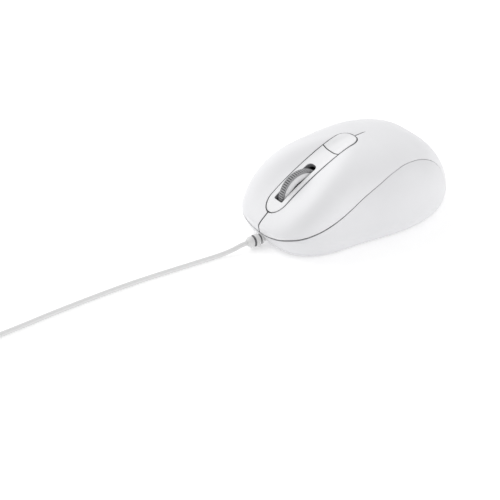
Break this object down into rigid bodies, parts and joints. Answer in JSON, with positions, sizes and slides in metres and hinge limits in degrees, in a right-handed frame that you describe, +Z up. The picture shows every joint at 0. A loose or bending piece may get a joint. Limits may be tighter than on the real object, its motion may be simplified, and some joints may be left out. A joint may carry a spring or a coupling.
{
  "type": "computer mouse",
  "caption": "Corded computer mouse with left and right keys, a ribbed scroll wheel that clicks, a speed key behind it, and a lead to a flat plug.",
  "frame": {"origin": "centre of the underside of the mouse's own box, on the desk surface; the cord and plug aren't counted", "axes": "+Z up from the desk, -Y towards the nose and the cord, +X towards the user's left"},
  "size_m": [0.113, 0.2991, 0.042],
  "materials": {
    "shell": "fine satin moulded",
    "case": "fine satin moulded",
    "island": "semi-gloss moulded",
    "wheel": "semi-gloss moulded",
    "tyre": "matt grey rubber, ribbed",
    "inner": "plain moulded",
    "board": "lacquered glass-fibre board",
    "black": "matt moulded",
    "plunger": "plain moulded",
    "clear": "clear moulded",
    "lamp": "tinted clear epoxy",
    "steel": "bright zinc plated",
    "plug_metal": "nickel plated",
    "glide": "low-friction sheet",
    "label": "printed film, blank",
    "cord": "satin flexible PVC"
  },
  "bodies": {
    "case": {"lower_case": "case", "top_cover": "shell", "wheel_bezel": "island", "circuit_board": "board", "left_switch": "black", "right_switch": "black", "middle_switch": "black", "speed_switch": "black", "scroll_emitter": "clear", "scroll_receiver": "black", "sensor_chip": "black", "sensor_lens": "clear", "sensor_lamp": "lamp", "lamp_clip": "black", "controller_chip": "black", "crystal": "steel", "capacitor": "black", "cable_header": "inner", "case_screw": "steel", "board_screw_left": "steel", "board_screw_right": "steel", "front_foot_left": "glide", "front_foot_right": "glide", "rear_foot": "glide", "base_label": "label", "strain_relief": "cord", "cord": "cord", "cord_coil": "cord", "cord_tail": "cord", "plug_relief": "cord", "plug_grip": "cord", "plug_shell": "plug_metal", "plug_tongue": "label"},
    "left_key": {"left_button": "shell"},
    "right_key": {"right_button": "shell"},
    "speed_key": {"speed_button": "island"},
    "wheel_rocker": {"wheel_carriage": "inner"},
    "wheel": {"wheel_hub": "wheel", "wheel_tyre": "tyre"},
    "left_plunger": {"left_switch_plunger": "plunger"},
    "right_plunger": {"right_switch_plunger": "plunger"},
    "middle_plunger": {"middle_switch_plunger": "plunger"},
    "speed_plunger": {"speed_switch_plunger": "plunger"}
  },
  "joints": [
    {"name": "left_button_press", "type": "hinge", "parent": "case", "child": "left_key", "pos_m": [0, 0.008, 0.038], "axis": [1, 0, 0], "range_deg": [0, 0.5], "stiffness_Nm_per_rad": 2.5},
    {"name": "right_button_press", "type": "hinge", "parent": "case", "child": "right_key", "pos_m": [0, 0.008, 0.038], "axis": [1, 0, 0], "range_deg": [0, 0.5], "stiffness_Nm_per_rad": 2.5},
    {"name": "speed_button_press", "type": "slide", "parent": "case", "child": "speed_key", "axis": [0, 0, -1], "range_m": [0, 0.0004], "stiffness_N_per_m": 2500},
    {"name": "wheel_press", "type": "hinge", "parent": "case", "child": "wheel_rocker", "pos_m": [0, -0.0094, 0.0154], "axis": [1, 0, 0], "range_deg": [0, 1.2], "stiffness_Nm_per_rad": 0.7},
    {"name": "wheel_spin", "type": "hinge", "parent": "wheel_rocker", "child": "wheel", "pos_m": [0, -0.0284, 0.0202], "axis": [1, 0, 0], "continuous": true},
    {"name": "left_plunger_travel", "type": "slide", "parent": "case", "child": "left_plunger", "axis": [0, 0, -1], "range_m": [0, 0.0004]},
    {"name": "right_plunger_travel", "type": "slide", "parent": "case", "child": "right_plunger", "axis": [0, 0, -1], "range_m": [0, 0.0004]},
    {"name": "middle_plunger_travel", "type": "slide", "parent": "case", "child": "middle_plunger", "axis": [0, 0, -1], "range_m": [0, 0.0003]},
    {"name": "speed_plunger_travel", "type": "slide", "parent": "case", "child": "speed_plunger", "axis": [0, 0, -1], "range_m": [0, 0.0004]}
  ],
  "couplings": [
    {"joint": "left_plunger_travel", "follows": "left_button_press", "m_per_rad": 0.041},
    {"joint": "right_plunger_travel", "follows": "right_button_press", "m_per_rad": 0.041},
    {"joint": "middle_plunger_travel", "follows": "wheel_press", "m_per_rad": 0.0126},
    {"joint": "speed_plunger_travel", "follows": "speed_button_press", "ratio": 1}
  ]
}
